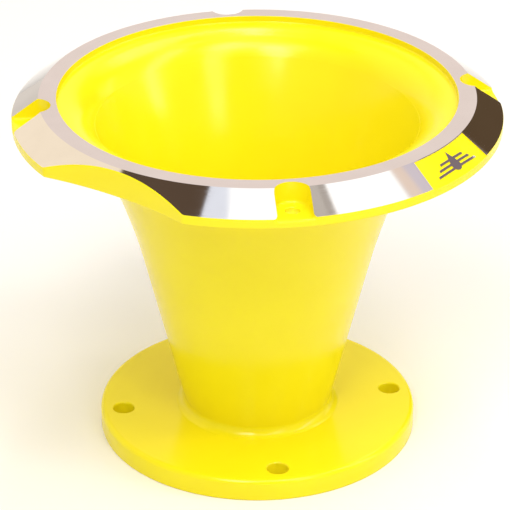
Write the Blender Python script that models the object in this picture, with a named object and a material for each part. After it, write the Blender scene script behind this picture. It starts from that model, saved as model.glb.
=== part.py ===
"""Bolt-on bell-mouth funnel: a spun cone welded to a base flange and seated in a machined rim ring.

Run it with: blender --background --python part.py
Metres, +Z up. The origin is the centre of the base flange's underside. The four pockets in the rim
and the four bolt holes lie on the X and Y axes.
"""

import math

import bmesh
import bpy
from mathutils import Matrix, Vector

MM = 0.001
GAP = 0.3 * MM                  # between pieces that touch
SEGMENTS = 72                   # round the axis
HEIGHT = 122.1 * MM             # underside of the base to the mouth plane

# Base flange
BASE_RADIUS = 53.6 * MM
BASE_THICKNESS = 7.6 * MM
BASE_TOP_ROUND = 1.8 * MM
BASE_FOOT_CHAMFER = 0.4 * MM
LEDGE_HEIGHT = 3.0 * MM         # the cone's foot stands on this ledge inside the bore
BOLT_CIRCLE_RADIUS = 46.0 * MM
BOLT_HOLE_RADIUS = 3.5 * MM     # clearance for M6

# Seal in a groove in the flange's underside
SEAL_RADIUS = 33.0 * MM
SEAL_HALF_WIDTH = 1.4 * MM
SEAL_HALF_HEIGHT = 1.0 * MM
SEAL_LIFT = 0.1 * MM            # the seal ends this far above the underside

# Cone and bell
THROAT_RADIUS = 21.3 * MM
SPIGOT_RADIUS = 24.0 * MM
WALL = 3.0 * MM                 # measured square to it
FOOT_OUTER_RADIUS = 24.37 * MM  # where the outer wall would meet the flange's top
TAPER = 0.243                   # growth of the radius per height in the straight stretch
FLARE_START = 63.75 * MM        # the straight stretch ends here
FLARE = 2.73                    # per metre: growth of the radius with the square of the height above that
BELL_RADIUS = 13.93 * MM        # of the inner surface where it rolls out to the mouth
LIP_RADIUS = 65.3 * MM          # outer edge of the bell's lip
WELD_LEG = 2.4 * MM

# Rim ring
MOUTH_RADIUS = 65.0 * MM
LAND_HEIGHT = 2.3 * MM          # straight wall between the mouth plane and the bell
FLAT_OUTER_RADIUS = 70.9 * MM
RIM_RADIUS = 79.7 * MM
BEVEL_DROP = 6.26 * MM
RIM_THICKNESS = 9.46 * MM
RIM_FOOT_CHAMFER = 0.4 * MM
RIM_BORE_RADIUS = 57.6 * MM     # at the underside, round the cone

# Pockets in the rim, one on each half axis
POCKET_WIDTH = 11.2 * MM
POCKET_END_RADIUS = 67.0 * MM   # from the funnel's axis to the pocket's round end
POCKET_DEPTH = 7.0 * MM         # of the floor under the mouth plane
POCKET_HOLE_RADIUS = 2.2 * MM   # clearance for M4
POCKET_HOLE_PLACE = 72.5 * MM

# Scallop cut straight down through the rim
SCALLOP_DIRECTION = math.radians(225)
SCALLOP_RADIUS = 136.6 * MM
SCALLOP_CENTRE = 208.7 * MM     # from the funnel's axis

# Badge let into the bevel. Its levels are measured straight down from the bevel.
BADGE_DIRECTION = math.radians(315)
BADGE_SWEEP = math.radians(22)
BADGE_INNER_RADIUS = 71.1 * MM
BADGE_SEAT_DEPTH = 1.9 * MM
PLATE_LEVELS = (0.7 * MM, 1.5 * MM)
EMBLEM_LEVELS = (0.0, 0.4 * MM)

# Emblem: a drop with three stripes on each side, heights counted from the centre of its round end
DROP_RADIUS = 2.1 * MM
DROP_TIP = 5.2 * MM
DROP_CENTRE = -1.5 * MM         # up the bevel from the middle of it
STRIPE_HEIGHT = 0.8 * MM
STRIPES = [(-0.9 * MM, 10.2 * MM), (0.7 * MM, 8.2 * MM), (2.3 * MM, 6.2 * MM)]  # (middle, half length)

YELLOW = (0.83, 0.62, 0.02)
BARE_METAL = (0.78, 0.74, 0.70)
BLACK = (0.02, 0.02, 0.02)

HALF_AXES = [math.radians(angle) for angle in (0, 90, 180, 270)]
BELL_CENTRE = (LIP_RADIUS, HEIGHT - LAND_HEIGHT - BELL_RADIUS)


def material(name, colour, metallic, roughness):
    made = bpy.data.materials.new(name)
    made.use_nodes = True
    shader = made.node_tree.nodes["Principled BSDF"]
    shader.inputs["Base Color"].default_value = (*colour, 1)
    shader.inputs["Metallic"].default_value = metallic
    shader.inputs["Roughness"].default_value = roughness
    made.diffuse_color = (*colour, 1)
    return made


def polar(radius, angle):
    return Vector((radius * math.cos(angle), radius * math.sin(angle), 0))


def arc(centre, radius, start, end, steps):
    """Points along a circular arc in a plane, both ends included. The angles are in degrees."""
    angles = [math.radians(start + (end - start) * i / steps) for i in range(steps + 1)]
    return [(centre[0] + radius * math.cos(a), centre[1] + radius * math.sin(a)) for a in angles]


def finish(name, bm, look, parent):
    """Turns a closed bmesh into a named object, its faces pointing out and its round faces smooth."""
    bmesh.ops.recalc_face_normals(bm, faces=bm.faces)
    mesh = bpy.data.meshes.new(name)
    bm.to_mesh(mesh)
    bm.free()
    made = bpy.data.objects.new(name, mesh)
    bpy.context.scene.collection.objects.link(made)
    made.parent = parent
    if look:
        mesh.materials.append(look)
        mesh.shade_smooth()
        mesh.set_sharp_from_angle(angle=math.radians(30))
    return made


def turned(profile):
    """A closed (radius, height) outline turned once round Z."""
    bm = bmesh.new()
    corners = [bm.verts.new((r, 0, z)) for r, z in profile]
    outline = [bm.edges.new((a, b)) for a, b in zip(corners, corners[1:] + corners[:1])]
    bmesh.ops.spin(
        bm, geom=outline, cent=(0, 0, 0), axis=(0, 0, 1),
        angle=2 * math.pi, steps=SEGMENTS, use_merge=True,
    )
    return bm


def swept(profile, middle, sweep, steps):
    """A closed (radius, height) outline turned part of the way round Z, and so a block with two ends."""
    bm = bmesh.new()
    start = Matrix.Rotation(middle - sweep / 2, 3, "Z")
    end_face = bm.faces.new([bm.verts.new(start @ Vector((r, 0, z))) for r, z in profile])
    bmesh.ops.spin(
        bm, geom=[end_face], cent=(0, 0, 0), axis=(0, 0, 1), angle=sweep, steps=steps, use_merge=False
    )
    return bm


def prism(outline, height):
    """A flat outline at Z = 0, raised into a block."""
    bm = bmesh.new()
    face = bm.faces.new([bm.verts.new((x, y, 0)) for x, y in outline])
    raised = bmesh.ops.extrude_face_region(bm, geom=[face])["geom"]
    corners = [v for v in raised if isinstance(v, bmesh.types.BMVert)]
    bmesh.ops.translate(bm, vec=(0, 0, height), verts=corners)
    return bm


def drill(radius, centre, low, high, segments):
    """An upright cylinder between two heights."""
    bm = bmesh.new()
    place = Matrix.Translation((centre.x, centre.y, (low + high) / 2))
    bmesh.ops.create_cone(
        bm, cap_ends=True, segments=segments, radius1=radius, radius2=radius,
        depth=high - low, matrix=place,
    )
    return bm


def shape_with(target, name, bm, operation="DIFFERENCE"):
    """Cuts the target with a shape, which stays in the scene as a wire guide."""
    cutter = finish(name, bm, None, target.parent)
    cutter.hide_render = True
    cutter.display_type = "WIRE"
    boolean = target.modifiers.new(name, "BOOLEAN")
    boolean.operation = operation
    boolean.solver = "EXACT"
    boolean.object = cutter


def outer_wall(z):
    """Outer radius of the cone: straight at first, then opening along a parabola."""
    return FOOT_OUTER_RADIUS + TAPER * (z - BASE_THICKNESS) + FLARE * max(0.0, z - FLARE_START) ** 2


def wall_slope(z):
    return TAPER + 2 * FLARE * max(0.0, z - FLARE_START)


def inner_wall(z):
    return outer_wall(z) - WALL * math.hypot(1, wall_slope(z))


def bell_start():
    """Angle in degrees round the bell's centre at which the arc leans out as much as the wall does."""
    angle = 150.0
    for _ in range(20):
        height = BELL_CENTRE[1] + BELL_RADIUS * math.sin(math.radians(angle))
        angle = 180 - math.degrees(math.atan(wall_slope(height)))
    return angle


def outer_skin(z):
    """Outer radius of the whole shell, wall or bell."""
    start, radius = math.radians(bell_start()), BELL_RADIUS - WALL
    rise = z - BELL_CENTRE[1]
    if rise <= radius * math.sin(start):
        return outer_wall(z)
    return BELL_CENTRE[0] - math.sqrt(radius ** 2 - rise ** 2)


def wall_points(wall, top, steps=4):
    """Points up a wall's flared stretch, from its start to just under top."""
    heights = [FLARE_START + (top - FLARE_START) * i / steps for i in range(steps)]
    return [(wall(z), z) for z in heights]


def base_flange(look, parent):
    bore = SPIGOT_RADIUS + GAP
    groove_half = SEAL_HALF_WIDTH + GAP
    groove_depth = SEAL_LIFT + 2 * SEAL_HALF_HEIGHT + GAP
    round_centre = (BASE_RADIUS - BASE_TOP_ROUND, BASE_THICKNESS - BASE_TOP_ROUND)
    profile = [
        (THROAT_RADIUS, 0), (THROAT_RADIUS, LEDGE_HEIGHT), (bore, LEDGE_HEIGHT), (bore, BASE_THICKNESS),
        *arc(round_centre, BASE_TOP_ROUND, 90, 0, 4),
        (BASE_RADIUS, BASE_FOOT_CHAMFER), (BASE_RADIUS - BASE_FOOT_CHAMFER, 0),
        (SEAL_RADIUS + groove_half, 0), (SEAL_RADIUS + groove_half, groove_depth),
        (SEAL_RADIUS - groove_half, groove_depth), (SEAL_RADIUS - groove_half, 0),
    ]
    flange = finish("base_flange", turned(profile), look, parent)
    for number, angle in enumerate(HALF_AXES, 1):
        centre = polar(BOLT_CIRCLE_RADIUS, angle)
        hole = drill(BOLT_HOLE_RADIUS, centre, -BASE_THICKNESS, 2 * BASE_THICKNESS, 24)
        shape_with(flange, f"cut_bolt_hole_{number}", hole)


def base_o_ring(look, parent):
    angles = [math.radians(60 * i + 30) for i in range(6)]
    profile = [
        (SEAL_RADIUS + SEAL_HALF_WIDTH * math.cos(a) / math.cos(math.radians(30)),
         SEAL_LIFT + SEAL_HALF_HEIGHT * (1 + math.sin(a)))
        for a in angles
    ]
    finish("base_o_ring", turned(profile), look, parent)


def cone_body(look, parent):
    """The spun shell: a spigot in the flange, a straight taper, a flare and the rolled bell."""
    foot, shoulder = LEDGE_HEIGHT + GAP, BASE_THICKNESS + GAP
    outer_bell = arc(BELL_CENTRE, BELL_RADIUS - WALL, bell_start(), 90, 4)
    inner_bell = arc(BELL_CENTRE, BELL_RADIUS, 90, bell_start(), 5)
    outer = wall_points(outer_wall, outer_bell[0][1])
    inner = wall_points(inner_wall, inner_bell[-1][1])
    throat_top = BASE_THICKNESS + (THROAT_RADIUS - inner_wall(BASE_THICKNESS)) / TAPER
    profile = [
        (THROAT_RADIUS, foot), (SPIGOT_RADIUS, foot), (SPIGOT_RADIUS, shoulder),
        (outer_wall(shoulder), shoulder), *outer, *outer_bell,
        *inner_bell, *reversed(inner), (THROAT_RADIUS, throat_top),
    ]
    finish("cone_body", turned(profile), look, parent)


def weld_bead(name, flat_height, away, look, parent):
    """A hollow fillet between the cone's wall and a flat face. away is +1 above the face, -1 below it."""
    near = flat_height + away * GAP
    far = near + away * WELD_LEG
    corner = Vector((outer_skin(near) + GAP, near))
    along_flat = corner + Vector((WELD_LEG, 0))
    up_wall = Vector((outer_skin(far) + GAP, far))
    hollow = [(1 - t) ** 2 * along_flat + 2 * t * (1 - t) * corner + t ** 2 * up_wall for t in (0, 0.35, 0.65, 1)]
    finish(name, turned([tuple(point) for point in (corner, *hollow)]), look, parent)


def bevel_height(radius):
    return HEIGHT - BEVEL_DROP * (radius - FLAT_OUTER_RADIUS) / (RIM_RADIUS - FLAT_OUTER_RADIUS)


def bevel_slab(inner, outer, levels):
    """Section of a slab that follows the bevel between two radii and two levels under it."""
    top, bottom = levels
    return [
        (inner, bevel_height(inner) - bottom), (outer, bevel_height(outer) - bottom),
        (outer, bevel_height(outer) - top), (inner, bevel_height(inner) - top),
    ]


def pocket(angle):
    """An upright slot with a round end towards the axis, open past the rim."""
    half, past = POCKET_WIDTH / 2, 10 * MM
    outline = arc((POCKET_END_RADIUS + half, 0), half, 90, 270, 12)
    outline += [(RIM_RADIUS + past, -half), (RIM_RADIUS + past, half)]
    bm = prism(outline, POCKET_DEPTH + past)
    place = Matrix.Rotation(angle, 4, "Z") @ Matrix.Translation((0, 0, HEIGHT - POCKET_DEPTH))
    bmesh.ops.transform(bm, matrix=place, verts=bm.verts)
    return bm


def rim_ring(look, parent):
    underside, land_foot = HEIGHT - RIM_THICKNESS, HEIGHT - LAND_HEIGHT + GAP
    seat_radius = BELL_RADIUS - WALL - GAP
    seat_start = 180 - math.degrees(math.acos((LIP_RADIUS - RIM_BORE_RADIUS) / seat_radius))
    seat = arc(BELL_CENTRE, seat_radius, seat_start, 90, 4)
    lip_bore = LIP_RADIUS + GAP
    profile = [
        (RIM_BORE_RADIUS, underside), *seat, (lip_bore, seat[-1][1]), (lip_bore, land_foot),
        (MOUTH_RADIUS, land_foot), (MOUTH_RADIUS, HEIGHT), (FLAT_OUTER_RADIUS, HEIGHT),
        (RIM_RADIUS, HEIGHT - BEVEL_DROP), (RIM_RADIUS, underside + RIM_FOOT_CHAMFER),
        (RIM_RADIUS - RIM_FOOT_CHAMFER, underside),
    ]
    ring = finish("rim_ring", turned(profile), look, parent)
    clear = 5 * MM
    below, above = underside - clear, HEIGHT + clear
    for number, angle in enumerate(HALF_AXES, 1):
        shape_with(ring, f"cut_pocket_{number}", pocket(angle))
        hole = drill(POCKET_HOLE_RADIUS, polar(POCKET_HOLE_PLACE, angle), below, above, 16)
        shape_with(ring, f"cut_pocket_hole_{number}", hole)
    scallop = drill(SCALLOP_RADIUS, polar(SCALLOP_CENTRE, SCALLOP_DIRECTION), below, above, 128)
    shape_with(ring, "cut_scallop", scallop)
    seat_section = bevel_slab(BADGE_INNER_RADIUS, RIM_RADIUS + clear, (-clear, BADGE_SEAT_DEPTH))
    shape_with(ring, "cut_badge_seat", swept(seat_section, BADGE_DIRECTION, BADGE_SWEEP, 6))


def badge_plate(look, parent):
    section = bevel_slab(BADGE_INNER_RADIUS + GAP, RIM_RADIUS, PLATE_LEVELS)
    sweep = BADGE_SWEEP - 2 * GAP / BADGE_INNER_RADIUS
    finish("badge_plate", swept(section, BADGE_DIRECTION, sweep, 6), look, parent)


def drop_half_width(up):
    """Half the drop's width at a height above the centre of its round end."""
    shoulder = DROP_RADIUS ** 2 / DROP_TIP
    if up <= shoulder:
        return math.sqrt(max(0.0, DROP_RADIUS ** 2 - up ** 2))
    return (DROP_TIP - up) * math.sqrt(DROP_RADIUS ** 2 - shoulder ** 2) / (DROP_TIP - shoulder)


def emblem_outline():
    """The drop and its stripes as one outline, from the drop's foot up its right side and back down."""
    half, lift = STRIPE_HEIGHT / 2, DROP_CENTRE
    right = [(0, -DROP_RADIUS), (drop_half_width(-1.7 * MM), -1.7 * MM)]
    for middle, half_length in STRIPES:
        low, high = middle - half, middle + half
        right += [
            (drop_half_width(low), low), (half_length, low),
            (half_length - half, high), (drop_half_width(high), high),
        ]
    left = [(-x, y) for x, y in reversed(right[1:])]
    return [(x, y + lift) for x, y in [*right, (0, DROP_TIP), *left]]


def badge_emblem(look, parent):
    """A slab along the bevel, kept only inside the emblem's outline."""
    section = bevel_slab(BADGE_INNER_RADIUS, RIM_RADIUS, EMBLEM_LEVELS)
    emblem = finish("badge_emblem", swept(section, BADGE_DIRECTION, BADGE_SWEEP, 12), look, parent)
    middle_radius = (FLAT_OUTER_RADIUS + RIM_RADIUS) / 2
    slope = math.atan2(BEVEL_DROP, RIM_RADIUS - FLAT_OUTER_RADIUS)
    reach = 6 * MM
    bm = prism(emblem_outline(), 2 * reach)
    place = (
        Matrix.Rotation(BADGE_DIRECTION, 4, "Z")
        @ Matrix.Translation((middle_radius, 0, bevel_height(middle_radius)))
        @ Matrix.Rotation(slope, 4, "Y")
        @ Matrix.Rotation(math.radians(90), 4, "Z")
        @ Matrix.Translation((0, 0, -reach))
    )
    bmesh.ops.transform(bm, matrix=place, verts=bm.verts)
    shape_with(emblem, "keep_emblem", bm, "INTERSECT")


def main():
    for old in list(bpy.data.objects):
        bpy.data.objects.remove(old)
    coat = material("yellow_powder_coat", YELLOW, 0.0, 0.25)
    bare = material("machined_aluminium", BARE_METAL, 1.0, 0.28)
    rubber = material("nitrile_rubber", BLACK, 0.0, 0.6)

    funnel = bpy.data.objects.new("funnel", None)
    bpy.context.scene.collection.objects.link(funnel)
    base_flange(coat, funnel)
    base_o_ring(rubber, funnel)
    cone_body(coat, funnel)
    weld_bead("base_weld", BASE_THICKNESS, 1, coat, funnel)
    weld_bead("rim_weld", HEIGHT - RIM_THICKNESS, -1, coat, funnel)
    rim_ring(bare, funnel)
    badge_plate(coat, funnel)
    badge_emblem(bare, funnel)


main()
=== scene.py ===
import math

import bmesh
import bpy
from mathutils import Matrix, Vector


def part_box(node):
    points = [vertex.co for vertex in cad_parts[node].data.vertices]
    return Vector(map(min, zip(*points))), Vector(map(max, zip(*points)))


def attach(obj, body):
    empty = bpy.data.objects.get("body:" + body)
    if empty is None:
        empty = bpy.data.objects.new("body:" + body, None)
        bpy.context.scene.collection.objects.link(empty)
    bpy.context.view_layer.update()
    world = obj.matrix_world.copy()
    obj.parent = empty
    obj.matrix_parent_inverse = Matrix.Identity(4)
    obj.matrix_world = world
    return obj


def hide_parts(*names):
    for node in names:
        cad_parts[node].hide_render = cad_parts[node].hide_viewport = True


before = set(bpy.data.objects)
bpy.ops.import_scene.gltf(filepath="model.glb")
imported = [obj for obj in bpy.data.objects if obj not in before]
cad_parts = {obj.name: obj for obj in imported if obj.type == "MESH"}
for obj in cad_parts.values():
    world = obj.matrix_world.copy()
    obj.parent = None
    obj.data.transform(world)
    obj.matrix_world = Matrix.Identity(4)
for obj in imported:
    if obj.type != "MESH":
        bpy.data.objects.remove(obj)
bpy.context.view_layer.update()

mm = 0.001
turn = 2 * math.pi
mergeWithin = 0.0005 * mm  # points closer than this are one point
past = 2 * mm              # how far a drill sticks out of what it cuts
wellPast = 3 * mm          # and a cutter with sloping or round ends

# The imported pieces' corners. The sizes below are set out from these heights and outer radii.
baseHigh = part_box("base_flange")[1]
sealLow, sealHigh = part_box("base_o_ring")
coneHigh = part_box("cone_body")[1]
rimLow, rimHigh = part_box("rim_ring")
baseRadius, baseTop, lipRadius = baseHigh.x, baseHigh.z, coneHigh.x
rimRadius, rimTop, rimFoot = rimHigh.x, rimHigh.z, rimLow.z


def addNode(tree, kind, inputs=None, **settings):
    # inputs holds, for a socket's name or number, a value, a socket, or a node for its first output
    node = tree.nodes.new(kind)
    node.location = (220 * (len(tree.nodes) % 10), -240 * (len(tree.nodes) // 10))
    for name, value in settings.items():
        setattr(node, name, value)
    for socket, value in (inputs or {}).items():
        if isinstance(value, bpy.types.Node):
            value = value.outputs[0]
        if isinstance(value, bpy.types.NodeSocket):
            tree.links.new(value, node.inputs[socket])
        else:
            node.inputs[socket].default_value = value
    return node


def linear(hexColour):
    # sRGB hex to the linear values that shaders work in
    levels = [int(hexColour[i:i + 2], 16) / 255 for i in (1, 3, 5)]
    return (*[v / 12.92 if v <= 0.04045 else ((v + 0.055) / 1.055) ** 2.4 for v in levels], 1.0)


def newMaterial(name):
    made = bpy.data.materials.new(name)
    made.use_nodes = True
    return made, made.node_tree.nodes["Principled BSDF"]


def addObject(name, mesh):
    made = bpy.data.objects.new(name, mesh)
    bpy.context.scene.collection.objects.link(made)
    return made


def meshFrom(name, bm):
    mesh = bpy.data.meshes.new(name)
    bmesh.ops.recalc_face_normals(bm, faces=bm.faces)
    bm.to_mesh(mesh)
    bm.free()
    return mesh


def addOutline(name, points):
    # An object of loose (radius, height) points, in the order that a turning tree reads them
    mesh = bpy.data.meshes.new(name)
    mesh.from_pydata([(x, 0, z) for x, z in points], [], [])
    return addObject(name, mesh)


def arc(centre, radius, start, end, steps):
    # Points round an arc, both ends included, its angles in degrees
    angles = [math.radians(start + (end - start) * i / steps) for i in range(steps + 1)]
    return [(centre[0] + radius * math.cos(a), centre[1] + radius * math.sin(a)) for a in angles]


def newTree(name, inputs):
    tree = bpy.data.node_groups.new(name, "GeometryNodeTree")
    for label, kind in {"Geometry": "Geometry", **inputs, "Material": "Material"}.items():
        tree.interface.new_socket(label, in_out="INPUT", socket_type="NodeSocket" + kind)
    tree.interface.new_socket("Geometry", in_out="OUTPUT", socket_type="NodeSocketGeometry")
    return tree, addNode(tree, "NodeGroupInput")


def closeTree(tree, geometry, group):
    smooth = addNode(tree, "GeometryNodeSetShadeSmooth", {"Geometry": geometry})
    real = addNode(tree, "GeometryNodeRealizeInstances", {"Geometry": smooth})
    painted = addNode(tree, "GeometryNodeSetMaterial",
                      {"Geometry": real, "Material": group.outputs["Material"]})
    addNode(tree, "NodeGroupOutput", {"Geometry": painted})


def shape(piece, tree, values):
    # Gives the object a tree, sets the tree's inputs, and keeps the result as a plain mesh
    modifier = piece.modifiers.new("shape", "NODES")
    modifier.node_group = tree
    for item in tree.interface.items_tree:
        if item.in_out == "INPUT" and item.name in values:
            modifier[item.identifier] = values[item.name]
    keepShape(piece)
    piece.data.materials.clear()  # a cut leaves a blank slot beside the painted one
    piece.data.materials.append(values["Material"])
    return piece


def keepShape(piece):
    evaluated = piece.evaluated_get(bpy.context.evaluated_depsgraph_get())
    result = bpy.data.meshes.new_from_object(evaluated)
    piece.modifiers.clear()
    piece.data = result


def cutRound(piece, tree, cutter, count, pitchRadius, material):
    # Cuts the cutter's copies out of the piece, and drops the cutter
    shape(piece, tree, {
        "Cutter": cutter, "Count": count, "Pitch radius": pitchRadius, "Material": material})
    bpy.data.objects.remove(cutter)


def paint(piece, coat, metal, isBare):
    # Coats the whole piece, and bares the faces that the tool has gone over
    piece.data.materials.clear()
    piece.data.materials.append(coat)
    piece.data.materials.append(metal)
    for face in piece.data.polygons:
        face.material_index = int(isBare(face))


def finishPiece(piece, node, sharpAngle=32):
    # Merges doubles, turns faces outwards, keeps crisp corners, and tells the frame what this is
    bm = bmesh.new()
    bm.from_mesh(piece.data)
    bmesh.ops.remove_doubles(bm, verts=bm.verts, dist=mergeWithin)
    bmesh.ops.dissolve_degenerate(bm, edges=bm.edges, dist=mergeWithin)
    bmesh.ops.recalc_face_normals(bm, faces=bm.faces)
    for face in bm.faces:
        face.smooth = True
    for edge in bm.edges:  # an edge is also crisp where bare metal meets the coat
        finishes = {face.material_index for face in edge.link_faces}
        edge.smooth = len(finishes) == 1 and edge.calc_face_angle(0) < math.radians(sharpAngle)
    bm.to_mesh(piece.data)
    bm.free()
    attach(piece, "root")
    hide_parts(node)
    print(node, len(piece.data.polygons), "faces")


cameraValues = {
    "place": (-0.11512, -0.77958, 0.47160),
    "target": (-0.00078, 0.00011, 0.06279),
    "lens": 187.62,
    "sensorWidth": 36.0,
}


def makeCamera():
    data = bpy.data.cameras.new("camera")
    data.lens, data.sensor_width = cameraValues["lens"], cameraValues["sensorWidth"]
    camera = addObject("camera", data)
    place, target = Vector(cameraValues["place"]), Vector(cameraValues["target"])
    camera.location = place
    camera.rotation_euler = (target - place).to_track_quat("-Z", "Y").to_euler()
    bpy.context.scene.camera = camera
    bpy.context.scene.view_settings.view_transform = "Standard"
    print("camera set")


# The studio's walls, cards and flags, painted into the sky: rows give azimuth, half width, low and
# high elevation, edge softness and radiance, and a later row lies over an earlier one. Angles are
# in degrees. Azimuths run anticlockwise from +X, and elevations up from the floor.
skyValues = {
    "horizon": (0.77, 0.71, 0.65), "zenith": (0.27, 0.27, 0.27), "zenithHeight": 0.95,
    "strength": 1.0,
    "zones": [
        (270, 45, 45, 78, 8.0, (1.12, 1.12, 1.12)),  # high bounce card in front
        (90, 45, 45, 78, 8.0, (0.25, 0.25, 0.25)),  # the upper wall behind
        (215, 30, 5, 45, 8.0, (0.43, 0.43, 0.43)),  # grey wall on the front left
        (270, 30, 5, 45, 8.0, (0.14, 0.14, 0.14)),  # the dark room behind the camera
        (322, 25, 5, 45, 8.0, (0.27, 0.27, 0.27)),  # dim wall on the front right
        (26, 10, 24, 47, 2.0, (0.24, 0.19, 0.21)),  # gap between the cards on the right
        (14, 4, 44, 56, 2.0, (0.72, 0.65, 0.72)),  # lavender edge of the right card
        (300, 180, 77, 90, 2.0, (1.25, 1.27, 1.30)),  # ceiling card
        (204, 12, 75, 80.3, 0.8, (0.88, 0.92, 1.03)),  # its bluish edge
        (355, 14.5, 52, 74, 2.5, (1.35, 1.35, 1.35)),  # the right card
        (11, 1.5, 48, 60, 1.2, (0.90, 0.73, 0.62)),  # its peach edge
        (336, 6, 70, 79, 2.0, (0.58, 0.53, 0.48)),  # grey seam between it and the ceiling card
        (341, 1.8, 66, 78, 1.0, (0.46, 0.41, 0.37)),
        (138, 27, 3, 60, 3.0, (1.05, 0.91, 0.72)),  # warm wall behind on the left
        (172.7, 19.6, 53.7, 90, 0.8, (0.108, 0.070, 0.046)),  # dark flag on the left
        (49, 12.3, -20, 34, 1.0, (0.106, 0.067, 0.036)),  # dark flag on the right
        (81, 14, -20, 40, 6.0, (0.88, 0.76, 0.71)),  # warm wall behind
    ],
}

# White softboxes, a metre and a half from the part: rows give shape, azimuth and elevation, then
# width and height in degrees as the part sees them, and radiance
lightValues = {
    "distance": 1.5,
    "boxes": {
        "overheadStrip": ("RECTANGLE", 79, 70, 4, 26, 7.5),
        "roundFront": ("ELLIPSE", 246, 47, 16, 34, 6.2),
        "rightStrip": ("RECTANGLE", 345, 35, 11, 50, 3.6),
        "frontStrip": ("RECTANGLE", 295, 45, 13, 60, 2.6),
        "backStrip": ("RECTANGLE", 27, 16, 6, 30, 0.8),
        "rightBack": ("RECTANGLE", 45, 55, 24, 20, 2.2),
        "frontHigh": ("RECTANGLE", 262, 66, 44, 16, 2.2),
    },
}


def makeSky():
    world = bpy.data.worlds.new("studio")
    bpy.context.scene.world = world
    world.use_nodes = True
    tree = world.node_tree
    tree.nodes.clear()
    ray = addNode(tree, "ShaderNodeTexCoord").outputs["Generated"]
    height = addNode(tree, "ShaderNodeSeparateXYZ", {0: ray}).outputs["Z"]
    level = addNode(tree, "ShaderNodeVectorMath", {0: ray, 1: (1, 1, 0)}, operation="MULTIPLY")
    heading = addNode(tree, "ShaderNodeVectorMath", {0: level}, operation="NORMALIZE")
    rise = addNode(tree, "ShaderNodeMapRange", {
        "Value": height, "From Min": 0.0, "From Max": skyValues["zenithHeight"]})
    colour = addNode(tree, "ShaderNodeMix", {
        0: rise, 6: (*skyValues["horizon"], 1), 7: (*skyValues["zenith"], 1),
    }, data_type="RGBA").outputs[2]
    for azimuth, halfWidth, low, high, soft, radiance in skyValues["zones"]:
        # A zone fades in across each of its edges, from the value outside it to the value inside
        middle = math.radians(azimuth)
        near = addNode(tree, "ShaderNodeVectorMath", {
            0: heading, 1: (math.cos(middle), math.sin(middle), 0)}, operation="DOT_PRODUCT")
        edges = []
        if halfWidth < 180:
            outer = math.radians(min(180, halfWidth + soft))
            inner = math.radians(max(0, halfWidth - soft))
            edges.append((near.outputs["Value"], math.cos(outer), math.cos(inner)))
        under, over = (math.sin(math.radians(low + side * soft)) for side in (-1, 1))
        edges.append((height, under, over))
        if high < 90:
            above, below = (math.sin(math.radians(high + side * soft)) for side in (1, -1))
            edges.append((height, above, below))
        mask = 1.0
        for value, outside, inside in edges:
            fade = addNode(tree, "ShaderNodeMapRange", {
                "Value": value, "From Min": min(outside, inside), "From Max": max(outside, inside),
                "To Min": float(outside > inside), "To Max": float(outside < inside),
            }, interpolation_type="SMOOTHSTEP")
            mask = addNode(tree, "ShaderNodeMath", {0: mask, 1: fade}, operation="MULTIPLY")
        colour = addNode(tree, "ShaderNodeMix", {0: mask, 6: colour, 7: (*radiance, 1)},
                         data_type="RGBA").outputs[2]
    seen = addNode(tree, "ShaderNodeLightPath").outputs["Is Camera Ray"]
    backdrop = addNode(tree, "ShaderNodeMix", {0: seen, 6: colour, 7: (1, 1, 1, 1)},
                       data_type="RGBA").outputs[2]
    glow = addNode(tree, "ShaderNodeBackground", {
        "Color": backdrop, "Strength": skyValues["strength"]})
    addNode(tree, "ShaderNodeOutputWorld", {"Surface": glow})
    print("sky painted")


def makeLights():
    distance = lightValues["distance"]
    target = Vector((0, 0, (rimTop + baseTop) / 2))
    for name, (form, azimuth, elevation, wide, tall, radiance) in lightValues["boxes"].items():
        a, e = math.radians(azimuth), math.radians(elevation)
        toward = Vector((math.cos(a) * math.cos(e), math.sin(a) * math.cos(e), math.sin(e)))
        data = bpy.data.lights.new(name, "AREA")
        data.shape = form
        data.size = 2 * distance * math.tan(math.radians(wide) / 2)
        data.size_y = 2 * distance * math.tan(math.radians(tall) / 2)
        area = data.size * data.size_y * (math.pi / 4 if form == "ELLIPSE" else 1)
        data.energy = 4 * area * radiance  # watts that give an area light this radiance
        light = addObject(name, data)
        light.location = target + toward * distance
        light.rotation_euler = toward.to_track_quat("Z", "Y").to_euler()
        light.visible_camera = False
    print(len(lightValues["boxes"]), "lights set")


# Studio paper, metres
floorValues = {"size": 3.0, "colour": "#F1EFEC", "roughness": 0.7}


def makeFloor():
    half = floorValues["size"] / 2
    mesh = bpy.data.meshes.new("floor")
    corners = [(-half, -half, 0), (half, -half, 0), (half, half, 0), (-half, half, 0)]
    mesh.from_pydata(corners, [], [(0, 1, 2, 3)])
    floor = addObject("floor", mesh)
    paper, shader = newMaterial("paperSweep")
    shader.inputs["Base Color"].default_value = linear(floorValues["colour"])
    shader.inputs["Roughness"].default_value = floorValues["roughness"]
    mesh.materials.append(paper)
    print("floor laid")


noiseSpan = {"From Min": 0.3, "From Max": 0.7}  # where nearly all of a noise's values lie

# Powder coat: cured polyester, sprayed and baked. It gives full gloss over a faint orange peel,
# with the colour a shade deeper where it lies thick. Sizes in millimetres.
coatValues = {
    "colour": "#F3E418", "deep": "#EBDA0E", "tintSize": 28.0,
    "gloss": 0.16, "dull": 0.23, "ior": 1.38,
    "peelSize": 1.6, "peelDepth": 0.004, "swellSize": 9.0, "swellDepth": 0.012,
}


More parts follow.
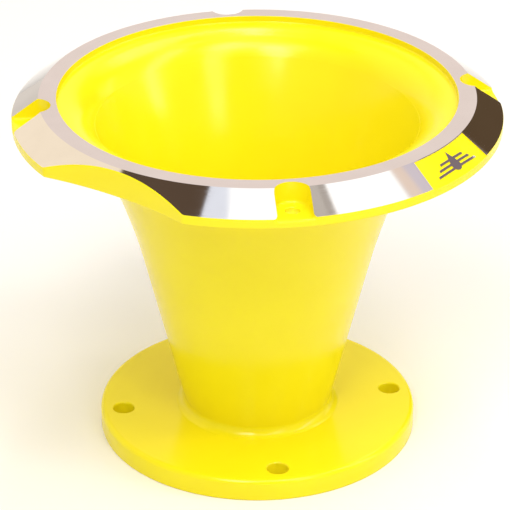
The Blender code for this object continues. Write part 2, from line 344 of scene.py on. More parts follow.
def makeCoat():
    coat, shader = newMaterial("yellowPowderCoat")
    tree = coat.node_tree
    place = addNode(tree, "ShaderNodeTexCoord").outputs["Object"]
    tint = addNode(tree, "ShaderNodeTexNoise", {
        "Vector": place, "Scale": 1 / (coatValues["tintSize"] * mm), "Detail": 3.0})
    colour = addNode(tree, "ShaderNodeMix", {
        0: tint, 6: linear(coatValues["deep"]), 7: linear(coatValues["colour"])}, data_type="RGBA")
    peel = addNode(tree, "ShaderNodeTexNoise", {
        "Vector": place, "Scale": 1 / (coatValues["peelSize"] * mm), "Detail": 1.5})
    swell = addNode(tree, "ShaderNodeTexNoise", {
        "Vector": place, "Scale": 1 / (coatValues["swellSize"] * mm), "Detail": 1.0})
    gloss = addNode(tree, "ShaderNodeMapRange", {
        "Value": swell, **noiseSpan, "To Min": coatValues["gloss"], "To Max": coatValues["dull"]})
    broad = addNode(tree, "ShaderNodeBump", {
        "Height": swell, "Strength": 1.0, "Distance": coatValues["swellDepth"] * mm})
    fine = addNode(tree, "ShaderNodeBump", {
        "Height": peel, "Strength": 1.0, "Distance": coatValues["peelDepth"] * mm, "Normal": broad})
    tree.links.new(colour.outputs[2], shader.inputs["Base Color"])
    tree.links.new(gloss.outputs[0], shader.inputs["Roughness"])
    tree.links.new(fine.outputs[0], shader.inputs["Normal"])
    shader.inputs["IOR"].default_value = coatValues["ior"]
    return coat


# Aluminium faced on a lathe: a bright mirror drawn out by the tool's rings. They are really
# 0.1 mm apart, and are drawn wider here so that they show. Sizes in millimetres.
metalValues = {
    "colour": "#F4F1EE", "shade": "#E9E5E1", "cloudSize": 14.0,
    "ringPitch": 0.5, "ringDepth": 0.0002, "smooth": 0.035, "rough": 0.065, "stretch": 0.3,
}


def makeMetal():
    metal, shader = newMaterial("turnedAluminium")
    tree = metal.node_tree
    place = addNode(tree, "ShaderNodeTexCoord").outputs["Object"]
    level = addNode(tree, "ShaderNodeVectorMath", {0: place, 1: (1, 1, 0)}, operation="MULTIPLY")
    radius = addNode(tree, "ShaderNodeVectorMath", {0: level}, operation="LENGTH").outputs["Value"]
    rings = addNode(tree, "ShaderNodeTexNoise", {
        "W": radius, "Scale": 1 / (metalValues["ringPitch"] * mm), "Detail": 2.0,
    }, noise_dimensions="1D")
    cloud = addNode(tree, "ShaderNodeTexNoise", {
        "Vector": place, "Scale": 1 / (metalValues["cloudSize"] * mm), "Detail": 2.0})
    colour = addNode(tree, "ShaderNodeMix", {
        0: cloud, 6: linear(metalValues["shade"]), 7: linear(metalValues["colour"]),
    }, data_type="RGBA")
    rough = addNode(tree, "ShaderNodeMapRange", {
        "Value": rings, **noiseSpan,
        "To Min": metalValues["smooth"], "To Max": metalValues["rough"]})
    bump = addNode(tree, "ShaderNodeBump", {
        "Height": rings, "Strength": 1.0, "Distance": metalValues["ringDepth"] * mm})
    along = addNode(tree, "ShaderNodeVectorMath", {0: (0, 0, 1), 1: place},
                    operation="CROSS_PRODUCT")  # the way the work turned under the tool
    tree.links.new(colour.outputs[2], shader.inputs["Base Color"])
    tree.links.new(rough.outputs[0], shader.inputs["Roughness"])
    tree.links.new(bump.outputs[0], shader.inputs["Normal"])
    tree.links.new(along.outputs[0], shader.inputs["Tangent"])
    shader.inputs["Metallic"].default_value = 1.0
    shader.inputs["Anisotropic"].default_value = metalValues["stretch"]
    return metal


# Nitrile rubber, compression moulded: matt black with a fine grain and a bloom of paler dust.
# Sizes in millimetres.
rubberValues = {
    "colour": "#1A1A1B", "bloom": "#2A2A2A", "bloomSize": 6.0, "grainSize": 0.5, "grainDepth": 0.01,
    "roughness": 0.62,
}


def makeRubber():
    rubber, shader = newMaterial("nitrileRubber")
    tree = rubber.node_tree
    place = addNode(tree, "ShaderNodeTexCoord").outputs["Object"]
    grain = addNode(tree, "ShaderNodeTexNoise", {
        "Vector": place, "Scale": 1 / (rubberValues["grainSize"] * mm), "Detail": 3.0})
    dust = addNode(tree, "ShaderNodeTexNoise", {
        "Vector": place, "Scale": 1 / (rubberValues["bloomSize"] * mm), "Detail": 4.0})
    colour = addNode(tree, "ShaderNodeMix", {
        0: dust, 6: linear(rubberValues["colour"]), 7: linear(rubberValues["bloom"]),
    }, data_type="RGBA")
    bump = addNode(tree, "ShaderNodeBump", {
        "Height": grain, "Strength": 1.0, "Distance": rubberValues["grainDepth"] * mm})
    tree.links.new(colour.outputs[2], shader.inputs["Base Color"])
    tree.links.new(bump.outputs[0], shader.inputs["Normal"])
    shader.inputs["Roughness"].default_value = rubberValues["roughness"]
    return rubber


def turnPoints(tree, outline, segments):
    # Turns the outline's points, in their order, once round Z into a closed skin
    size = addNode(tree, "GeometryNodeAttributeDomainSize", {"Geometry": outline})
    count = size.outputs["Point Count"]
    rows = addNode(tree, "FunctionNodeIntegerMath", {0: count, 1: 1}, operation="ADD")
    columns = addNode(tree, "FunctionNodeIntegerMath", {0: segments, 1: 1}, operation="ADD")
    grid = addNode(tree, "GeometryNodeMeshGrid", {"Vertices X": columns, "Vertices Y": rows})
    index = addNode(tree, "GeometryNodeInputIndex")
    column = addNode(tree, "FunctionNodeIntegerMath", {0: index, 1: rows}, operation="DIVIDE_FLOOR")
    row = addNode(tree, "FunctionNodeIntegerMath", {0: index, 1: rows}, operation="MODULO")
    point = addNode(tree, "FunctionNodeIntegerMath", {0: row, 1: count}, operation="MODULO")
    place = addNode(tree, "GeometryNodeSampleIndex", {
        "Geometry": outline, "Value": addNode(tree, "GeometryNodeInputPosition"), "Index": point,
    }, data_type="FLOAT_VECTOR")
    share = addNode(tree, "ShaderNodeMath", {0: column, 1: segments}, operation="DIVIDE")
    angle = addNode(tree, "ShaderNodeMath", {0: share, 1: turn}, operation="MULTIPLY")
    turned = addNode(tree, "ShaderNodeVectorRotate", {"Vector": place, "Angle": angle},
                     rotation_type="Z_AXIS")
    skin = addNode(tree, "GeometryNodeSetPosition", {"Geometry": grid, "Position": turned})
    return addNode(tree, "GeometryNodeMergeByDistance", {"Geometry": skin, "Distance": mergeWithin})


def makeTurnTree():
    # A lathe: the object's own points are the section
    tree, group = newTree("lathe", {"Segments": "Int"})
    closeTree(tree, turnPoints(tree, group.outputs["Geometry"], group.outputs["Segments"]), group)
    return tree


def makeRingCutTree():
    # Cuts copies of another object, spaced evenly round Z, out of the object's own mesh
    tree, group = newTree("ringCut", {"Cutter": "Object", "Count": "Int", "Pitch radius": "Float"})
    cutter = addNode(tree, "GeometryNodeObjectInfo", {"Object": group.outputs["Cutter"]})
    point = addNode(tree, "GeometryNodePoints", {"Count": group.outputs["Count"]})
    share = addNode(tree, "ShaderNodeMath", {
        0: addNode(tree, "GeometryNodeInputIndex"), 1: group.outputs["Count"]}, operation="DIVIDE")
    angle = addNode(tree, "ShaderNodeMath", {0: share, 1: turn}, operation="MULTIPLY")
    reach = addNode(tree, "ShaderNodeCombineXYZ", {"X": group.outputs["Pitch radius"]})
    place = addNode(tree, "ShaderNodeVectorRotate", {"Vector": reach, "Angle": angle},
                    rotation_type="Z_AXIS")
    spread = addNode(tree, "GeometryNodeSetPosition", {"Geometry": point, "Position": place})
    facing = addNode(tree, "ShaderNodeCombineXYZ", {"Z": angle})
    copies = addNode(tree, "GeometryNodeInstanceOnPoints", {
        "Points": spread, "Instance": cutter.outputs["Geometry"], "Rotation": facing})
    solid = addNode(tree, "GeometryNodeRealizeInstances", {"Geometry": copies})
    cut = addNode(tree, "GeometryNodeMeshBoolean", {
        "Mesh 1": group.outputs["Geometry"], "Mesh 2": solid,
    }, operation="DIFFERENCE", solver="EXACT")
    closeTree(tree, cut, group)
    return tree


# Spun cone, millimetres. The wall is straight from the flange up and then opens along a parabola
# until it meets the rolled bell. The tree's own inputs are the names with a capital.
coneValues = {
    "Foot radius": 24.37, "Spigot radius": 24.0, "Throat radius": 21.3, "Wall": 3.0,
    "Flare start": 63.75, "Bell radius": 13.93,
    "taper": 0.243, "flarePerMetre": 2.73, "ledge": 3.0, "land": 2.3,
    "segments": 288, "wallPoints": 41, "bellPoints": 21,
}
landFoot = rimTop - coneValues["land"] * mm  # the lip's height, under the mouth's straight land
bellCentre = landFoot - coneValues["Bell radius"] * mm
bellBack = (coneValues["Bell radius"] - coneValues["Wall"]) * mm  # radius of the bell's outer skin


def wallSlope(height):
    above = max(0.0, height - coneValues["Flare start"] * mm)
    return coneValues["taper"] + 2 * coneValues["flarePerMetre"] * above


def outerWall(height):
    above = max(0.0, height - coneValues["Flare start"] * mm)
    straight = coneValues["Foot radius"] * mm + coneValues["taper"] * (height - baseTop)
    return straight + coneValues["flarePerMetre"] * above ** 2


def bellStart():
    # Where round the bell's centre the roll leans out as much as the wall under it
    angle = math.radians(150)
    for step in range(20):  # settles within a few steps
        joint = bellCentre + coneValues["Bell radius"] * mm * math.sin(angle)
        angle = math.pi - math.atan(wallSlope(joint))
    return angle


def outerSkin(height):
    # Outer radius of the whole shell, wall or bell
    rise = height - bellCentre
    if rise <= bellBack * math.sin(bellStart()):
        return outerWall(height)
    return lipRadius - math.sqrt(bellBack ** 2 - rise ** 2)


def makeConeTree():
    sizes = [
        "Foot radius", "Spigot radius", "Throat radius", "Wall", "Flare start", "Bell radius",
        "Base top", "Foot height", "Lip radius", "Lip height", "Taper", "Flare", "Bell start"]
    tree, group = newTree("spunCone", {**{size: "Float" for size in sizes}, "Segments": "Int"})
    given = group.outputs
    points = {"Wall": coneValues["wallPoints"], "Bell": coneValues["bellPoints"]}
    centre = addNode(tree, "ShaderNodeMath", {
        0: given["Lip height"], 1: given["Bell radius"]}, operation="SUBTRACT")
    back = addNode(tree, "ShaderNodeMath", {
        0: given["Bell radius"], 1: given["Wall"]}, operation="SUBTRACT")
    index = addNode(tree, "GeometryNodeInputIndex")
    stretches = {}

    def addStretch(name, count, across, high):
        line = addNode(tree, "GeometryNodeMeshLine", {"Count": count})
        place = addNode(tree, "ShaderNodeCombineXYZ", {"X": across, "Z": high})
        stretches[name] = addNode(tree, "GeometryNodeSetPosition", {
            "Geometry": line, "Position": place}).outputs[0]

    skins = (("outer", back, 0.0), ("inner", given["Bell radius"], given["Wall"]))
    for side, radius, thickness in skins:
        # The wall, from the flange up to where the bell begins
        sine = addNode(tree, "ShaderNodeMath", {0: given["Bell start"]}, operation="SINE")
        top = addNode(tree, "ShaderNodeMath", {0: sine, 1: radius, 2: centre},
                      operation="MULTIPLY_ADD")
        height = addNode(tree, "ShaderNodeMapRange", {
            "Value": index, "From Max": points["Wall"] - 1.0,
            "To Min": given["Base top"], "To Max": top})
        over = addNode(tree, "ShaderNodeMath", {
            0: height, 1: given["Flare start"]}, operation="SUBTRACT")
        above = addNode(tree, "ShaderNodeMath", {0: over, 1: 0.0}, operation="MAXIMUM")
        rise = addNode(tree, "ShaderNodeMath", {
            0: height, 1: given["Base top"]}, operation="SUBTRACT")
        straight = addNode(tree, "ShaderNodeMath", {
            0: rise, 1: given["Taper"], 2: given["Foot radius"]}, operation="MULTIPLY_ADD")
        steep = addNode(tree, "ShaderNodeMath", {0: above, 1: given["Flare"]}, operation="MULTIPLY")
        skin = addNode(tree, "ShaderNodeMath", {0: steep, 1: above, 2: straight},
                       operation="MULTIPLY_ADD")
        # The inner skin lies a wall's thickness away square to the slope, so more than that across
        slope = addNode(tree, "ShaderNodeMath", {0: steep, 1: 2.0, 2: given["Taper"]},
                        operation="MULTIPLY_ADD")
        square = addNode(tree, "ShaderNodeMath", {0: slope, 1: slope, 2: 1.0},
                         operation="MULTIPLY_ADD")
        lean = addNode(tree, "ShaderNodeMath", {0: square}, operation="SQRT")
        inset = addNode(tree, "ShaderNodeMath", {0: lean, 1: thickness}, operation="MULTIPLY")
        wall = addNode(tree, "ShaderNodeMath", {0: skin, 1: inset}, operation="SUBTRACT")
        if side == "inner":  # the throat is bored straight where the wall would be narrower
            wall = addNode(tree, "ShaderNodeMath", {
                0: wall, 1: given["Throat radius"]}, operation="MAXIMUM")
        addStretch(side + "Wall", points["Wall"], wall, height)
        # The bell, rolled out from there to the lip
        angle = addNode(tree, "ShaderNodeMapRange", {
            "Value": index, "From Max": points["Bell"] - 1.0,
            "To Min": given["Bell start"], "To Max": turn / 4})
        cosine = addNode(tree, "ShaderNodeMath", {0: angle}, operation="COSINE")
        lift = addNode(tree, "ShaderNodeMath", {0: angle}, operation="SINE")
        out = addNode(tree, "ShaderNodeMath", {0: cosine, 1: radius, 2: given["Lip radius"]},
                      operation="MULTIPLY_ADD")
        up = addNode(tree, "ShaderNodeMath", {0: lift, 1: radius, 2: centre},
                     operation="MULTIPLY_ADD")
        addStretch(side + "Bell", points["Bell"], out, up)
    # The spigot that sits in the flange, and the throat beside it
    addStretch("spigotTop", 1, given["Spigot radius"], given["Base top"])
    addStretch("spigotFoot", 1, given["Spigot radius"], given["Foot height"])
    addStretch("throatFoot", 1, given["Throat radius"], given["Foot height"])
    for part, count in points.items():  # the section runs down the inside, so its points turn round
        backwards = addNode(tree, "FunctionNodeIntegerMath", {0: count - 1, 1: index},
                            operation="SUBTRACT")
        flipped = addNode(tree, "GeometryNodeSampleIndex", {
            "Geometry": stretches["inner" + part],
            "Value": addNode(tree, "GeometryNodeInputPosition"), "Index": backwards,
        }, data_type="FLOAT_VECTOR")
        stretches["inner" + part] = addNode(tree, "GeometryNodeSetPosition", {
            "Geometry": stretches["inner" + part], "Position": flipped}).outputs[0]
    # A join puts the newest link first, so the section's last stretch is linked first
    joined = addNode(tree, "GeometryNodeJoinGeometry")
    for name in ("throatFoot", "innerWall", "innerBell", "outerBell", "outerWall", "spigotTop",
                 "spigotFoot"):
        tree.links.new(stretches[name], joined.inputs[0])
    closeTree(tree, turnPoints(tree, joined, given["Segments"]), group)
    return tree


def makeCone(coat):
    values = {name: size * mm for name, size in coneValues.items() if name[0].isupper()}
    values |= {
        "Base top": baseTop, "Foot height": coneValues["ledge"] * mm, "Lip radius": lipRadius,
        "Lip height": landFoot, "Taper": coneValues["taper"], "Flare": coneValues["flarePerMetre"],
        "Bell start": bellStart(), "Segments": coneValues["segments"], "Material": coat,
    }
    cone = shape(addOutline("cone", []), makeConeTree(), values)
    finishPiece(cone, "cone_body")


# Face seal in the flange's underside, millimetres
sealValues = {"width": 2.8, "segments": 192, "sectionPoints": 20}
sealMiddle = sealHigh.x - sealValues["width"] * mm / 2  # radius of the seal's own centre line

# Base flange, millimetres
baseValues = {
    "topRound": 1.8, "footRound": 0.5, "throat": 21.3, "throatChamfer": 0.3, "bore": 24.3,
    "ledge": 3.0, "grooveHalf": 1.7, "grooveDepth": 2.4, "segments": 288,
    "boltCircle": 46.0, "boltHole": 3.5, "holeRound": 0.55, "bolts": 4, "drillSegments": 64,
}


def holeOutline(radius, mouthRound, low, high, top):
    # Section of a drill with a trumpet mouth at height top, as the coat rounds a hole's edge over
    mouth = arc((radius + mouthRound, top - mouthRound), mouthRound, 180, 108, 6)
    mouthEnd = mouth[-1]
    # Above the face it only has to open wider
    flare = (high - mouthEnd[1]) * math.tan(math.radians(72)) / 4
    return [(0, low), (radius, low), *mouth, (mouthEnd[0] + flare, high), (0, high)]


def makeBase(coat, lathe, ringCut):
    value = {name: size * mm for name, size in baseValues.items()}
    topRound, footRound, chamfer = value["topRound"], value["footRound"], value["throatChamfer"]
    grooveIn, grooveOut = sealMiddle - value["grooveHalf"], sealMiddle + value["grooveHalf"]
    points = [
        (value["throat"], chamfer), (value["throat"], value["ledge"]),
        (value["bore"], value["ledge"]), (value["bore"], baseTop),
        *arc((baseRadius - topRound, baseTop - topRound), topRound, 90, 0, 12),
        *arc((baseRadius - footRound, footRound), footRound, 0, -90, 5),
        (grooveOut, 0), (grooveOut, value["grooveDepth"]),
        (grooveIn, value["grooveDepth"]), (grooveIn, 0), (value["throat"] + chamfer, 0),
    ]
    base = shape(addOutline("baseFlange", points), lathe, {
        "Segments": baseValues["segments"], "Material": coat})
    outline = holeOutline(value["boltHole"], value["holeRound"], -past, baseTop + past, baseTop)
    drill = shape(addOutline("boltDrill", outline), lathe, {
        "Segments": baseValues["drillSegments"], "Material": coat})
    cutRound(base, ringCut, drill, baseValues["bolts"], value["boltCircle"], coat)
    finishPiece(base, "base_flange")


def makeSeal(rubber, lathe):
    halfWidth = sealValues["width"] * mm / 2
    halfHeight, middle = (sealHigh.z - sealLow.z) / 2, (sealHigh.z + sealLow.z) / 2
    angles = [turn * i / sealValues["sectionPoints"] for i in range(sealValues["sectionPoints"])]
    points = [(sealMiddle + halfWidth * math.cos(a), middle + halfHeight * math.sin(a))
              for a in angles]
    seal = shape(addOutline("sealRing", points), lathe, {
        "Segments": sealValues["segments"], "Material": rubber})
    finishPiece(seal, "base_o_ring")


# Fillet welds under the coat, millimetres: hand-laid beads, so they swell and thin along their run
weldValues = {
    "leg": 3.7, "sink": 0.35, "toeSink": 0.105, "lumpHeight": 0.35, "lumpLength": 7.0,
    "hollow": 0.16,  # how far from the corner the face's middle is drawn, as a share of the leg
    "segments": 360, "rows": 14, "sharpAngle": 60,
}


def makeWeldTree():
    # A lathe whose turned skin is pushed along its normals by the lumps of a noise
    tree, group = newTree("weldBead", {
        "Segments": "Int", "Lump height": "Float", "Lump length": "Float", "Seed": "Float"})
    bead = turnPoints(tree, group.outputs["Geometry"], group.outputs["Segments"])
    scale = addNode(tree, "ShaderNodeMath", {
        0: 1.0, 1: group.outputs["Lump length"]}, operation="DIVIDE")
    lumps = addNode(tree, "ShaderNodeTexNoise", {
        "Vector": addNode(tree, "GeometryNodeInputPosition"), "W": group.outputs["Seed"],
        "Scale": scale, "Detail": 1.0}, noise_dimensions="4D")
    centred = addNode(tree, "ShaderNodeMath", {0: lumps, 1: 0.5}, operation="SUBTRACT")
    push = addNode(tree, "ShaderNodeMath", {
        0: centred, 1: group.outputs["Lump height"]}, operation="MULTIPLY")
    offset = addNode(tree, "ShaderNodeVectorMath", {
        0: addNode(tree, "GeometryNodeInputNormal"), "Scale": push}, operation="SCALE")
    lumpy = addNode(tree, "GeometryNodeSetPosition", {"Geometry": bead, "Offset": offset})
    closeTree(tree, lumpy, group)
    return tree


def makeWeld(name, node, flat, away, seed, coat, weldTree):
    # away is +1 for a bead above its flat face, and -1 for one below it
    leg, sink, toeSink = (weldValues[size] * mm for size in ("leg", "sink", "toeSink"))
    far, hollow = flat + away * leg, leg * weldValues["hollow"]
    toe = Vector((outerSkin(flat) + leg, flat - away * toeSink))
    wall = Vector((outerSkin(far) - toeSink, far))
    corner = Vector((outerSkin(flat) + hollow, flat + away * hollow))
    steps = [i / (weldValues["rows"] - 1) for i in range(weldValues["rows"])]
    face = [(1 - t) ** 2 * toe + 2 * t * (1 - t) * corner + t ** 2 * wall for t in steps]
    root = Vector((outerSkin(flat) - sink, flat - away * sink))
    weld = shape(addOutline(name, [tuple(point) for point in (root, *face)]), weldTree, {
        "Segments": weldValues["segments"], "Lump height": weldValues["lumpHeight"] * mm,
        "Lump length": weldValues["lumpLength"] * mm, "Seed": seed, "Material": coat})
    finishPiece(weld, node, weldValues["sharpAngle"])


# Rim ring, millimetres. It was coated all over, and then its flat and its bevel were faced back
# to bare metal.
rimValues = {
    "mouth": 65.0, "flatOuter": 70.9, "bevelDrop": 6.26, "mouthEdge": 0.12, "landFillet": 0.5,
    "bandRound": 0.18, "footRound": 0.5, "bore": 57.6, "seatGap": 0.05, "stations": 1080,
    "scallopAngle": 225.0, "scallopRadius": 136.6, "scallopCentre": 208.7, "scallopRound": 0.6,
    "cornerBlend": 0.5, "sharpAngle": 30,
}
flatOuter = rimValues["flatOuter"] * mm
bevelAngle = math.atan2(rimValues["bevelDrop"] * mm, rimRadius - flatOuter)


def bevelHeight(radius):
    return rimTop - math.tan(bevelAngle) * (radius - flatOuter)


def rimOuter(angle):
    # Outer radius at an angle, and how far into the scallop that is, from 0 to 1
    away = angle - math.radians(rimValues["scallopAngle"])
    centre, radius = rimValues["scallopCentre"] * mm, rimValues["scallopRadius"] * mm
    inside = radius ** 2 - (centre * math.sin(away)) ** 2
    if math.cos(away) < 0 or inside < 0:
        return rimRadius, 0.0
    cut, blend = centre * math.cos(away) - math.sqrt(inside), rimValues["cornerBlend"] * mm
    near = max(0.0, blend - abs(cut - rimRadius)) / blend
    depth = min(1.0, max(0.0, (rimRadius - cut) / (2 * blend) + 0.5))
    return min(cut, rimRadius) - near ** 2 * blend / 4, depth


def rimSection(angle):
    value = {name: size * mm for name, size in rimValues.items()}
    outer, depth = rimOuter(angle)
    mouth, mouthEdge, foot, fillet = (
        value[name] for name in ("mouth", "mouthEdge", "footRound", "landFillet"))
    edge = value["bandRound"] + (value["scallopRound"] - value["bandRound"]) * depth
    steep = math.pi / 2 - bevelAngle
    edgeCentre = (outer - edge, bevelHeight(outer) - edge * math.tan(steep / 2))
    seat, lipSeat = bellBack - value["seatGap"], landFoot - value["seatGap"]
    seatStart = 180 - math.degrees(math.acos((lipRadius - value["bore"]) / seat))
    return [
        *arc((mouth - fillet, landFoot + fillet), fillet, -88, 0, 6),
        (mouth, rimTop - mouthEdge), (mouth + mouthEdge, rimTop), (flatOuter, rimTop),
        *arc(edgeCentre, edge, math.degrees(steep), 0, 5),
        *arc((outer - foot, rimFoot + foot), foot, 0, -90, 5),
        (value["bore"], rimFoot), *arc((lipRadius, bellCentre), seat, seatStart, 90, 8),
        (lipRadius, lipSeat), (mouth - fillet, lipSeat),
    ]


# Pockets in the rim, millimetres: round at their inner end, and flared where they meet the band
pocketValues = {
    "width": 11.2, "endRadius": 67.0, "depth": 7.0, "floorFillet": 1.0, "mouthRound": 1.2,
    "lipRound": 0.7, "count": 4,
    "hole": 2.2, "holeRound": 0.4, "holePlace": 72.5, "drillSegments": 48,
}


def makePocketCutter():
    value = {name: size * mm for name, size in pocketValues.items()}
    half, fillet, flare, lip = (
        value["width"] / 2, value["floorFillet"], value["mouthRound"], value["lipRound"])
    endX = value["endRadius"] + half
    bandX = math.sqrt(rimRadius ** 2 - (half + flare) ** 2)
    floor, above = rimTop - value["depth"], rimTop + wellPast

    def halfOutline(inset):
        # From the pocket's round end out past the band, for one side, drawn in by the inset
        end = arc((endX, 0), half - inset, 180, 90, 18)
        angles = [turn / 4 * i / 10 for i in range(11)]
        mouth = [(bandX - flare + (flare + inset) * math.sin(a),
                  half + flare - (flare + inset) * math.cos(a)) for a in angles]
        straight = [(endX + (mouth[0][0] - endX) * i / 6, half - inset) for i in range(1, 6)]
        return [*end, *straight, *mouth, (rimRadius + 4 * mm, half + flare)]

    def lipDrop(x, y):
        # The floor rolls over into the band, short of the arc's upright end
        over = min(max(0.0, math.hypot(x, y) - (rimRadius - lip * 0.93)), lip * 0.945)
        return lip - math.sqrt(lip ** 2 - over ** 2)

    rings = []
    for a in [turn / 4 * i / 6 for i in range(7)]:  # from the floor up round the fillet
        inset, height = fillet * (1 - math.sin(a)), floor + fillet * (1 - math.cos(a))
        rings.append([(x, y, height - lipDrop(x, y)) for x, y in halfOutline(inset)])
    rings.append([(x, y, above) for x, y in halfOutline(0)])
    bm = bmesh.new()
    left, right = (
        [[bm.verts.new((x, side * y, z)) for x, y, z in ring] for ring in rings]
        for side in (1, -1))
    for side in (left, right):
        for low, high in zip(side, side[1:]):
            for i in range(len(low) - 1):
                bm.faces.new((low[i], low[i + 1], high[i + 1], high[i]))
    for level in (0, -1):  # floor and lid
        near, far = left[level], right[level]
        for i in range(len(near) - 1):
            bm.faces.new((near[i], near[i + 1], far[i + 1], far[i]))
    for k in range(len(rings) - 1):  # outer end
        bm.faces.new((left[k][-1], left[k + 1][-1], right[k + 1][-1], right[k][-1]))
    bmesh.ops.remove_doubles(bm, verts=bm.verts, dist=0.001 * mm)
    bmesh.ops.dissolve_degenerate(bm, edges=bm.edges, dist=0.001 * mm)
    return addObject("pocketCutter", meshFrom("pocketCutter", bm))


# Badge let into the bevel, millimetres. Levels are measured down from the bevel. The emblem is a
# drop over stripes, with its heights counted from the centre of the drop's round end.
badgeValues = {
    "angle": 315.0, "sweep": 22.0, "sweepSteps": 60, "inner": 71.1, "seatDepth": 1.2,
    "plateTop": 0.35, "plateFoot": 1.15, "plateGap": 0.02, "emblemFoot": 0.5,
    "dropRadius": 2.1, "dropTip": 5.2, "dropCentre": -1.5, "stripeHeight": 0.8,
    "stripes": [(-0.9, 10.2), (0.7, 8.2), (2.3, 6.2)],  # middle, half length
}
facedWithin = 0.05 * mm  # a face nearer than this to the bevel was faced with it


def bevelBlock(name, inner, outer, top, foot, sweep):
    # A block that follows the bevel between two radii and two levels, turned through the sweep
    section = [(inner, bevelHeight(inner) - foot), (outer, bevelHeight(outer) - foot),
               (outer, bevelHeight(outer) - top), (inner, bevelHeight(inner) - top)]
    start, steps = math.radians(badgeValues["angle"]) - sweep / 2, badgeValues["sweepSteps"]
    bm = bmesh.new()
    rings = []
    for i in range(steps + 1):
        spin = Matrix.Rotation(start + sweep * i / steps, 3, "Z")
        rings.append([bm.verts.new(spin @ Vector((r, 0, z))) for r, z in section])
    for a, b in zip(rings, rings[1:]):
        for i in range(4):
            bm.faces.new((a[i], a[(i + 1) % 4], b[(i + 1) % 4], b[i]))
    bm.faces.new(rings[0])
    bm.faces.new(rings[-1])
    return addObject(name, meshFrom(name, bm))


def shapeWith(piece, cutter, operation):
    boolean = piece.modifiers.new("shape", "BOOLEAN")
    boolean.operation, boolean.solver, boolean.object = operation, "EXACT", cutter
    keepShape(piece)
    bpy.data.objects.remove(cutter)


def makeRim(coat, metal, lathe, ringCut):
    stations = rimValues["stations"]
    bm = bmesh.new()
    rings = []
    for i in range(stations):
        angle = turn * (i + 0.5) / stations
        spin = Matrix.Rotation(angle, 3, "Z")
        rings.append([bm.verts.new(spin @ Vector((r, 0, z))) for r, z in rimSection(angle)])
    for a, b in zip(rings, rings[1:] + rings[:1]):
        for i in range(len(a)):
            j = (i + 1) % len(a)
            bm.faces.new((a[i], a[j], b[j], b[i]))
    rim = addObject("rim", meshFrom("rim", bm))

    value, count = {name: size * mm for name, size in pocketValues.items()}, pocketValues["count"]
    cutRound(rim, ringCut, makePocketCutter(), count, 0.0, coat)
    floor = rimTop - value["depth"]
    outline = holeOutline(value["hole"], value["holeRound"], rimFoot - past, floor + past, floor)
    drill = shape(addOutline("pocketDrill", outline), lathe, {
        "Segments": pocketValues["drillSegments"], "Material": coat})
    cutRound(rim, ringCut, drill, count, value["holePlace"], coat)
    seat = bevelBlock("badgeSeat", badgeValues["inner"] * mm, rimRadius + wellPast, -wellPast,
                      badgeValues["seatDepth"] * mm, math.radians(badgeValues["sweep"]))
    shapeWith(rim, seat, "DIFFERENCE")

    def isBare(face):
        radius = math.hypot(face.center.x, face.center.y)
        lean = math.hypot(face.normal.x, face.normal.y)
        onFlat = abs(face.center.z - rimTop) < 0.01 * mm and radius > rimValues["mouth"] * mm
        onBevel = (radius > flatOuter - 0.01 * mm and abs(lean - math.sin(bevelAngle)) < 0.01
                   and abs(face.center.z - bevelHeight(radius)) < facedWithin and face.normal.z > 0)
        return onFlat or onBevel

    paint(rim, coat, metal, isBare)
    finishPiece(rim, "rim_ring", rimValues["sharpAngle"])


def emblemOutline():
    # The drop and its stripes as one outline, from the drop's foot up its right side and back down
    radius, tip, half = (
        size * mm for size in (badgeValues["dropRadius"], badgeValues["dropTip"],
                               badgeValues["stripeHeight"] / 2))
    shoulder = radius ** 2 / tip  # where the round end runs straight into the tip

    def dropHalf(up):
        if up <= shoulder:
            return math.sqrt(max(0.0, radius ** 2 - up ** 2))
        return (tip - up) * math.sqrt(radius ** 2 - shoulder ** 2) / (tip - shoulder)

    foot = [math.radians(12 * i) for i in range(5)]
    right = [(radius * math.sin(a), -radius * math.cos(a)) for a in foot]
    for middle, halfLength in badgeValues["stripes"]:
        low, high = middle * mm - half, middle * mm + half
        right += [(dropHalf(low), low), (halfLength * mm, low),
                  (halfLength * mm - half, high), (dropHalf(high), high)]
    return [*right, (0, tip), *[(-x, y) for x, y in reversed(right[1:])]]


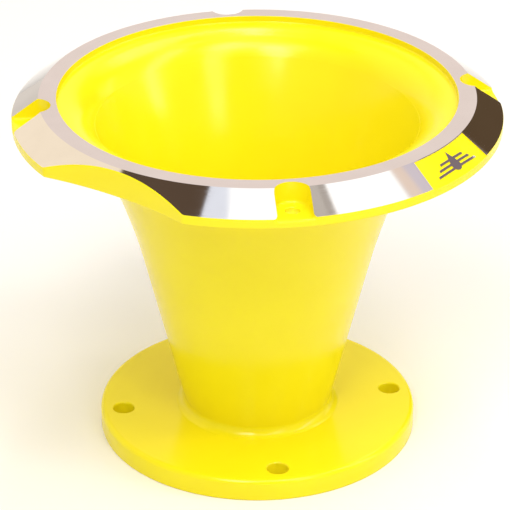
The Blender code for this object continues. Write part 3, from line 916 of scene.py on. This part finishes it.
def makeBadge(coat, metal):
    value = {name: size * mm for name, size in badgeValues.items() if name != "stripes"}
    inner, gap, sweep = value["inner"], value["plateGap"], math.radians(badgeValues["sweep"])
    plate = bevelBlock("badgePlate", inner + gap, rimRadius, value["plateTop"], value["plateFoot"],
                       sweep - 2 * gap / inner)
    plate.data.materials.append(coat)
    finishPiece(plate, "badge_plate")

    middle = (flatOuter + rimRadius) / 2
    reach = 6 * mm  # the punch goes this far through the bevel, each way
    place = (Matrix.Rotation(math.radians(badgeValues["angle"]), 4, "Z")
             @ Matrix.Translation((middle, 0, bevelHeight(middle)))
             @ Matrix.Rotation(bevelAngle, 4, "Y") @ Matrix.Rotation(turn / 4, 4, "Z"))
    bm = bmesh.new()
    face = bm.faces.new([
        bm.verts.new((x, y + value["dropCentre"], -reach)) for x, y in emblemOutline()])
    raised = bmesh.ops.extrude_face_region(bm, geom=[face])["geom"]
    bmesh.ops.translate(bm, vec=(0, 0, 2 * reach),
                        verts=[v for v in raised if isinstance(v, bmesh.types.BMVert)])
    bmesh.ops.transform(bm, matrix=place, verts=bm.verts)
    punch = addObject("emblemPunch", meshFrom("emblemPunch", bm))
    emblem = bevelBlock("badgeEmblem", inner, rimRadius, 0.0, value["emblemFoot"], sweep)
    shapeWith(emblem, punch, "INTERSECT")

    def isBare(face):
        radius = math.hypot(face.center.x, face.center.y)
        return abs(face.center.z - bevelHeight(radius)) < facedWithin and face.normal.z > 0.5

    paint(emblem, coat, metal, isBare)
    finishPiece(emblem, "badge_emblem")


makeCamera()
makeSky()
makeLights()
makeFloor()
coat, metal, rubber = makeCoat(), makeMetal(), makeRubber()
lathe, ringCut, weldTree = makeTurnTree(), makeRingCutTree(), makeWeldTree()
makeBase(coat, lathe, ringCut)
makeSeal(rubber, lathe)
makeCone(coat)
makeWeld("baseWeld", "base_weld", baseTop, 1, 3.0, coat, weldTree)
makeWeld("rimWeld", "rim_weld", rimFoot, -1, 8.0, coat, weldTree)
makeRim(coat, metal, lathe, ringCut)
makeBadge(coat, metal)
